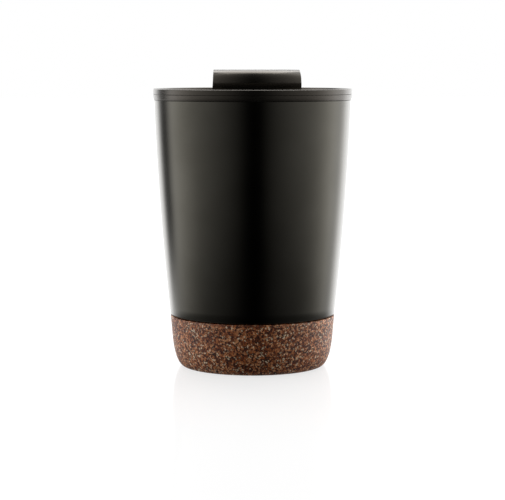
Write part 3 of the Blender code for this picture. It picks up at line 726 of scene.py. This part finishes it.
pin = cross_rod("pin_rod", PIN_RADIUS, PIN_HALF_LENGTH, HINGE_Y, HINGE_Z, 48)
bpy.ops.object.mode_set(mode="EDIT")
for side in (-1, 1):
    end = side * PIN_HALF_LENGTH * MM
    select_edges(pin, lambda point: abs(point.x - end) < NEAR)
    bpy.ops.mesh.bevel(offset=PIN_CHAMFER * MM, segments=2, affect="EDGES")
    bpy.ops.mesh.select_mode(type="FACE")
    bpy.ops.mesh.select_all(action="DESELECT")
    mesh = bmesh.from_edit_mesh(pin.data)
    for face in mesh.faces:
        if abs(face.calc_center_median().x - end) < NEAR and len(face.verts) > 8:
            face.select_set(True)
    bmesh.update_edit_mesh(pin.data)
    bpy.ops.mesh.inset(thickness=MARK_INSET * MM, depth=-MARK_DEPTH * MM)
bpy.ops.object.mode_set(mode="OBJECT")
smooth(pin)
dress(pin, bare_steel)
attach(pin, "lid")
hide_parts("hinge_pin")
print("pin:", len(pin.data.polygons), "faces")

# %% [markdown]
# ## The flap
# From above the flap's nose follows the lid's curve, and from the side it is a half round. So it
# starts as a disc about the lid's axis with a fully rounded edge, and three straight cuts
# leave the flap: the hinge end, and two sides that slope a little, as a mould needs, and close in
# towards the hinge.

# %% A helper that cuts a flap shape out of a disc
FLAP_WIDTH = 38.5
FLAP_TAPER = math.radians(2.8)
DISC_STEPS = 288


def disc_cut(name, radius, low, high, half_width, back, nose=0.0, draft=0.0):
    """A disc about the lid's axis, with a rounded nose, cut to sides that close in and a straight back."""
    corner = math.sqrt(radius**2 - half_width**2)
    disc = rod(name, radius, low, high, 0.0, DISC_STEPS)
    bpy.ops.object.mode_set(mode="EDIT")
    if nose:
        for height in (low, high):
            select_edges(disc, on_ring(radius * MM, height * MM))
            bpy.ops.mesh.bevel(offset=nose * MM, segments=10, affect="EDGES")
        bpy.ops.mesh.select_all(action="SELECT")
        bpy.ops.mesh.remove_doubles(threshold=NEAR)
    middle = (low + high) / 2 * MM
    for side in (-1, 1):
        bpy.ops.mesh.select_all(action="SELECT")
        bpy.ops.mesh.bisect(
            plane_co=(side * half_width * MM, -corner * MM, middle),
            plane_no=(side, math.tan(FLAP_TAPER), math.tan(draft)),
            use_fill=True,
            clear_outer=True,
        )
    bpy.ops.mesh.select_all(action="SELECT")
    bpy.ops.mesh.bisect(plane_co=(0, back * MM, middle), plane_no=(0, 1, 0), use_fill=True, clear_outer=True)
    bpy.ops.mesh.select_all(action="SELECT")
    bpy.ops.mesh.normals_make_consistent(inside=False)
    bpy.ops.object.mode_set(mode="OBJECT")
    return disc


# %% Flap shell
FLAP_RADIUS = 5.0
FLAP_DRAFT = math.radians(3.5)
FLAP_ROUND = 0.9
NOSE_ARC = 35.0
CAVITY_ARC = 31.5
FLAP_WALL = 1.6
FLAP_LOW, FLAP_HIGH = HINGE_Z - FLAP_RADIUS, HINGE_Z + FLAP_RADIUS
SWING_RADIUS = 5.3
CAVITY_BACK = HINGE_Y - SWING_RADIUS - FLAP_WALL

FLAP_BACK = HINGE_Y + FLAP_RADIUS

flap = disc_cut(
    "flap_cap",
    NOSE_ARC,
    FLAP_LOW,
    FLAP_HIGH,
    FLAP_WIDTH / 2,
    FLAP_BACK,
    nose=FLAP_RADIUS - 2 * HAIR,
    draft=FLAP_DRAFT,
)
make_active(flap)
bpy.ops.object.mode_set(mode="EDIT")
select_edges(flap, lambda point: abs(point.y - FLAP_BACK * MM) < NEAR)
mesh = bmesh.from_edit_mesh(flap.data)
for edge in mesh.edges:
    a, b = (corner.co for corner in edge.verts)
    if edge.select and abs(a.z - b.z) > NEAR:
        edge.select_set(False)
bmesh.update_edit_mesh(flap.data)
bpy.ops.mesh.bevel(offset=(FLAP_RADIUS - 2 * HAIR) * MM, segments=14, affect="EDGES")
bpy.ops.object.mode_set(mode="OBJECT")
soften(flap, FLAP_ROUND, angle=38, segments=5)
print("outside of the flap:", len(flap.data.polygons), "faces")

# %% The flap's hollow, its gap for the lug, and the pin's bore
LUG_GAP = 0.3
GAP_DEPTH = 20.0
cavity_low, cavity_high = FLAP_LOW - FLAP_RADIUS, FLAP_HIGH - FLAP_WALL
cavity_half = FLAP_WIDTH / 2 - FLAP_WALL
combine(flap, disc_cut("cavity", CAVITY_ARC, cavity_low, cavity_high, cavity_half, CAVITY_BACK), "DIFFERENCE")
gap_size = (LUG_WIDTH + 2 * LUG_GAP, GAP_DEPTH, 4 * FLAP_RADIUS)
gap_centre = (0, HINGE_Y - SWING_RADIUS + GAP_DEPTH / 2, HINGE_Z)
combine(flap, block("knuckle", gap_size, gap_centre), "DIFFERENCE")
combine(flap, cross_rod("flap_bore", PIN_RADIUS + PIN_GAP, FLAP_WIDTH, HINGE_Y, HINGE_Z), "DIFFERENCE")
smooth(flap)
apply_modifier(flap, "WEIGHTED_NORMAL", keep_sharp=True)
dress(flap, black_plastic)
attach(flap, "flap")
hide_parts("flap_shell")
print("flap:", len(flap.data.polygons), "faces")

# %% [markdown]
# ## What is under the flap
# A plate closes the flap from below. It holds a rib that the drinking stopper is pushed onto and
# a hole that the vent's nub snaps into. Both are silicone and come out for washing.

# %% Flap base
PLATE_LOW, PLATE_HIGH = FLAP_LOW + 0.2, FLAP_LOW + 1.8
PLATE_ROUND = 0.15
FIT = 0.3  # the gap round a piece that fits in another
STOPPER_LOW = RECESS_FLOOR - 2.2
STOPPER_WALL = 1.2
rib_inset = 2 * (STOPPER_WALL + 2 * FIT)

base = disc_cut("flap_plate", CAVITY_ARC - FIT, PLATE_LOW, PLATE_HIGH, cavity_half - FIT, CAVITY_BACK - FIT)
rib_low, rib_high = STOPPER_LOW + STOPPER_WALL + FIT, (PLATE_LOW + PLATE_HIGH) / 2
rib = slot_block("rib", SLOT_LENGTH - rib_inset, SLOT_WIDTH - rib_inset, rib_low, rib_high, SLOT_Y)
combine(base, rib, "UNION")
combine(base, rod("nub_hole", VENT_RADIUS, PLATE_LOW - PAST, PLATE_HIGH + PAST, VENT_Y), "DIFFERENCE")
soften(base, PLATE_ROUND, angle=60, segments=2)
dress(base, black_plastic)
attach(base, "flap")
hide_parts("flap_base")
print("base:", len(base.data.polygons), "faces")

# %% Stopper
STOPPER_ROUND = 1.5
FLANGE, FLANGE_OVERHANG, FLANGE_ROUND = 1.5, 1.5, 0.3
OVERLAP = 0.5  # how far two parts of one moulding reach into each other before they are joined
stopper_length, stopper_width = SLOT_LENGTH - 2 * FIT, SLOT_WIDTH - 2 * FIT
flange_low = RECESS_FLOOR + FIT
body_top = flange_low + FLANGE - OVERLAP
stopper = slot_block("silicone_stopper", stopper_length, stopper_width, STOPPER_LOW, body_top, SLOT_Y)
bpy.ops.object.mode_set(mode="EDIT")
select_edges(stopper, lambda point: abs(point.z - STOPPER_LOW * MM) < NEAR)
bpy.ops.mesh.bevel(offset=STOPPER_ROUND * MM, segments=CORNER_STEPS, affect="EDGES")
bpy.ops.object.mode_set(mode="OBJECT")
wide, deep = (size + 2 * FLANGE_OVERHANG for size in (stopper_length, stopper_width))
flange = slot_block("flange", wide, deep, flange_low, flange_low + FLANGE, SLOT_Y)
combine(stopper, soften(flange, FLANGE_ROUND), "UNION")
collar = slot_block("collar", stopper_length, stopper_width, flange_low + OVERLAP, PLATE_LOW - FIT, SLOT_Y)
combine(stopper, collar, "UNION")
wide, deep = (size - 2 * STOPPER_WALL for size in (stopper_length, stopper_width))
pocket = slot_block("pocket", wide, deep, STOPPER_LOW + STOPPER_WALL, PLATE_HIGH, SLOT_Y)
combine(stopper, pocket, "DIFFERENCE")
smooth(stopper)
dress(stopper, grey_silicone)
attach(stopper, "flap")
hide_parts("drink_stopper")
print("stopper:", len(stopper.data.polygons), "faces")

# %% Nub
nub = turned(
    "silicone_nub",
    [
        (1.9, PLATE_HIGH + 1.3, 0.3),
        (2.2, PLATE_HIGH + 0.3),
        (1.2, PLATE_HIGH + 0.3),
        (1.2, PLATE_LOW - 0.3),
        (2.2, PLATE_LOW - 0.3),
        (2.2, PLATE_LOW - 1.3, 0.2),
        (1.2, PLATE_LOW - 1.3),
        (1.2, RECESS_FLOOR),
        (0.8, RECESS_FLOOR - 1.2, 0.2),
    ],
    segments=48,
)
make_active(nub)
bpy.ops.transform.translate(value=(0, VENT_Y * MM, 0))
bpy.ops.object.transform_apply(location=True, rotation=True, scale=True)
dress(nub, grey_silicone)
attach(nub, "flap")
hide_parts("vent_plug")
print("nub:", len(nub.data.polygons), "faces")

# %% [markdown]
# ## The hidden pieces
# The bottom plate, the tape and the gasket are shut inside the cup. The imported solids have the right
# shape, so they stay, and only get their finishes.

# %% Finishes on the hidden pieces
hidden = {"bottom_plate": bare_steel, "adhesive_pad": foam_tape, "rim_gasket": grey_silicone}
for node, material in hidden.items():
    dress(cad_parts[node], material)
    print("kept", node)

# %% [markdown]
# ## Floor, light and camera
# The cup stands on a white table in a light tent. The tent is brightest behind and beside the cup
# and dark on the viewer's side, which is what draws the black centre and the grey
# bands on a black cup. A black flag hangs on the left and draws the dark line down that side. The tent
# is the world's light, set by compass direction. A soft lamp above adds the glint
# along the top edges.

# %% Camera
TURN = math.radians(4.0)
CAMERA_REACH, CAMERA_HEIGHT = 823.5, 137.0
CAMERA_PITCH = math.radians(5.875)

camera_data = bpy.data.cameras.new("camera")
camera_data.lens, camera_data.sensor_width = 130.34, 36.0
camera_data.clip_start, camera_data.clip_end = 0.01, 100.0
camera = bpy.data.objects.new("camera", camera_data)
to_viewer = Vector((-math.sin(TURN), -math.cos(TURN), 0))
camera.location = to_viewer * CAMERA_REACH * MM + Vector((0, 0, CAMERA_HEIGHT * MM))
camera.rotation_euler = (math.pi / 2 - CAMERA_PITCH, 0, -TURN)
bpy.context.scene.collection.objects.link(camera)
bpy.context.scene.camera = camera
print("camera at", [round(c / MM) for c in camera.location], "mm")

# %% The light tent
# Brightness by the angle from the viewer's side round to the far side, in degrees.
TENT_RIGHT = (
    (0, 0.0), (10, 0.01), (18, 0.09), (30, 0.23), (42, 0.36), (54, 0.50), (66, 0.66), (78, 0.92),
    (90, 1.35), (102, 1.95), (112, 2.3), (126, 1.8), (142, 2.6), (156, 2.0), (180, 1.1),
)
TENT_LEFT = (
    (0, 0.0), (6, 0.02), (12, 0.065), (24, 0.20), (36, 0.35), (48, 0.51), (60, 0.70), (72, 0.95),
    (84, 1.35), (96, 1.75), (104, 1.95), (120, 1.9), (144, 2.1), (156, 1.9), (180, 1.1),
)
BLACK_FLAG = ((110, 1.0), (117, 0.5), (123, 0.1), (133, 0.1), (141, 0.6), (147, 1.0))
BRIGHTEST = 2.6
# Steps by the height above the horizon, in degrees: low, high, and the level at each.
FLOOR_FADE = (-21.0, -8.0, 0.12, 1.05)
FLAG_FOOT = (-12.2, -9.6, 0.0, 1.0)


def light_tent():
    """World light set by the compass direction and the height, so it is fixed to the room."""
    world = bpy.data.worlds.new("light_tent")
    world.use_nodes = True
    tree = world.node_tree
    tree.nodes.clear()
    way = add_node(tree, "TexCoord").outputs["Generated"]
    to_right = to_viewer.cross((0, 0, -1))
    along, across = (
        add_node(tree, "VectorMath", {"operation": "DOT_PRODUCT", 1: side}, {0: way}).outputs["Value"]
        for side in (to_viewer, to_right)
    )
    sideways = add_node(tree, "Math", {"operation": "ABSOLUTE"}, {0: across}).outputs[0]
    angle = add_node(tree, "Math", {"operation": "ARCTAN2"}, {0: sideways, 1: along}).outputs[0]
    share = add_node(tree, "Math", {"operation": "DIVIDE", 1: math.pi}, {0: angle}).outputs[0]
    walls = []
    for stops, top in ((TENT_LEFT, BRIGHTEST), (BLACK_FLAG, 1.0), (TENT_RIGHT, BRIGHTEST)):
        ramp = add_node(tree, "ValToRGB", links={"Fac": share})
        ramp_colours(ramp, [(degrees / 180, (level / top,) * 3 + (1,)) for degrees, level in stops])
        walls.append(ramp.outputs["Color"])
    height = add_node(tree, "SeparateXYZ", links={0: way}).outputs["Z"]
    steps = []
    for low, high, start, end in (FLAG_FOOT, FLOOR_FADE):
        settings = {"interpolation_type": "SMOOTHSTEP", "To Min": start, "To Max": end}
        settings["From Min"] = math.sin(math.radians(low))
        settings["From Max"] = math.sin(math.radians(high))
        steps.append(add_node(tree, "MapRange", settings, {"Value": height}).outputs[0])
    flagged = {"Fac": steps[0], "Color1": walls[0], "Color2": walls[1]}
    left = add_node(tree, "MixRGB", {"blend_type": "MULTIPLY"}, flagged).outputs[0]
    is_right = add_node(tree, "Math", {"operation": "GREATER_THAN", 1: 0.0}, {0: across}).outputs[0]
    tent = add_node(tree, "MixRGB", links={"Fac": is_right, "Color1": left, "Color2": walls[2]}).outputs[0]
    level = add_node(tree, "Math", {"operation": "MULTIPLY", 1: BRIGHTEST}, {0: steps[1]}).outputs[0]
    glow = add_node(tree, "Background", links={"Color": tent, "Strength": level}).outputs[0]
    white = add_node(tree, "Background", {"Color": WHITE, "Strength": 1.0}).outputs[0]
    seen = add_node(tree, "LightPath").outputs["Is Camera Ray"]
    both = add_node(tree, "MixShader", links={0: seen, 1: glow, 2: white}).outputs[0]
    add_node(tree, "OutputWorld", links={"Surface": both})
    return world


bpy.context.scene.world = light_tent()
print("tent:", len(bpy.context.scene.world.node_tree.nodes), "nodes")


# %% The lamp above
def soft_lamp(name, size, place, aim, power):
    """A square lamp at a place in metres, turned towards a point."""
    data = bpy.data.lights.new(name, "AREA")
    data.shape, data.size, data.energy = "SQUARE", size, power
    lamp = bpy.data.objects.new(name, data)
    lamp.location = place
    lamp.rotation_euler = (Vector(aim) - Vector(place)).to_track_quat("-Z", "Y").to_euler()
    bpy.context.scene.collection.objects.link(lamp)
    return lamp


top_lamp = soft_lamp("top_lamp", 0.9, (0.0, 0.45, 1.1), (0.0, 0.0, 0.1), 9.0)
print("lamp of", top_lamp.data.energy, "W")

# %% [markdown]
# ### The table
# A sheet of white laminate, smooth enough to mirror the foot faintly. In a studio it is lit from below
# until it is as white as the wall behind, so it gets some light of its own. It lies a little
# below the cork, so that the two surfaces never share a plane.

# %% The table
deselect_all()
TABLE_DROP = 0.05  # mm
bpy.ops.mesh.primitive_plane_add(size=12.0, location=(0, 0, -TABLE_DROP * MM))
table = named(bpy.context.object, "white_table")
table.visible_glossy = table.visible_diffuse = False


def make_table_white():
    material, tree, shader = new_material("white_laminate", ior=1.08)
    place = add_node(tree, "TexCoord").outputs["Object"]
    fine = add_node(tree, "TexNoise", {"Scale": grain(4), "Detail": 2.0}, {"Vector": place})
    gloss = add_node(tree, "MapRange", {"To Min": 0.07, "To Max": 0.1}, {"Value": fine.outputs["Fac"]})
    shader.inputs["Base Color"].default_value = linear("#7c7c7c")
    shader.inputs["Emission Color"].default_value = WHITE
    shader.inputs["Emission Strength"].default_value = 0.72
    tree.links.new(gloss.outputs["Result"], shader.inputs["Roughness"])
    return material


dress(table, make_table_white())
bpy.context.scene.view_settings.view_transform = "Standard"
print("table, tent and camera are ready")
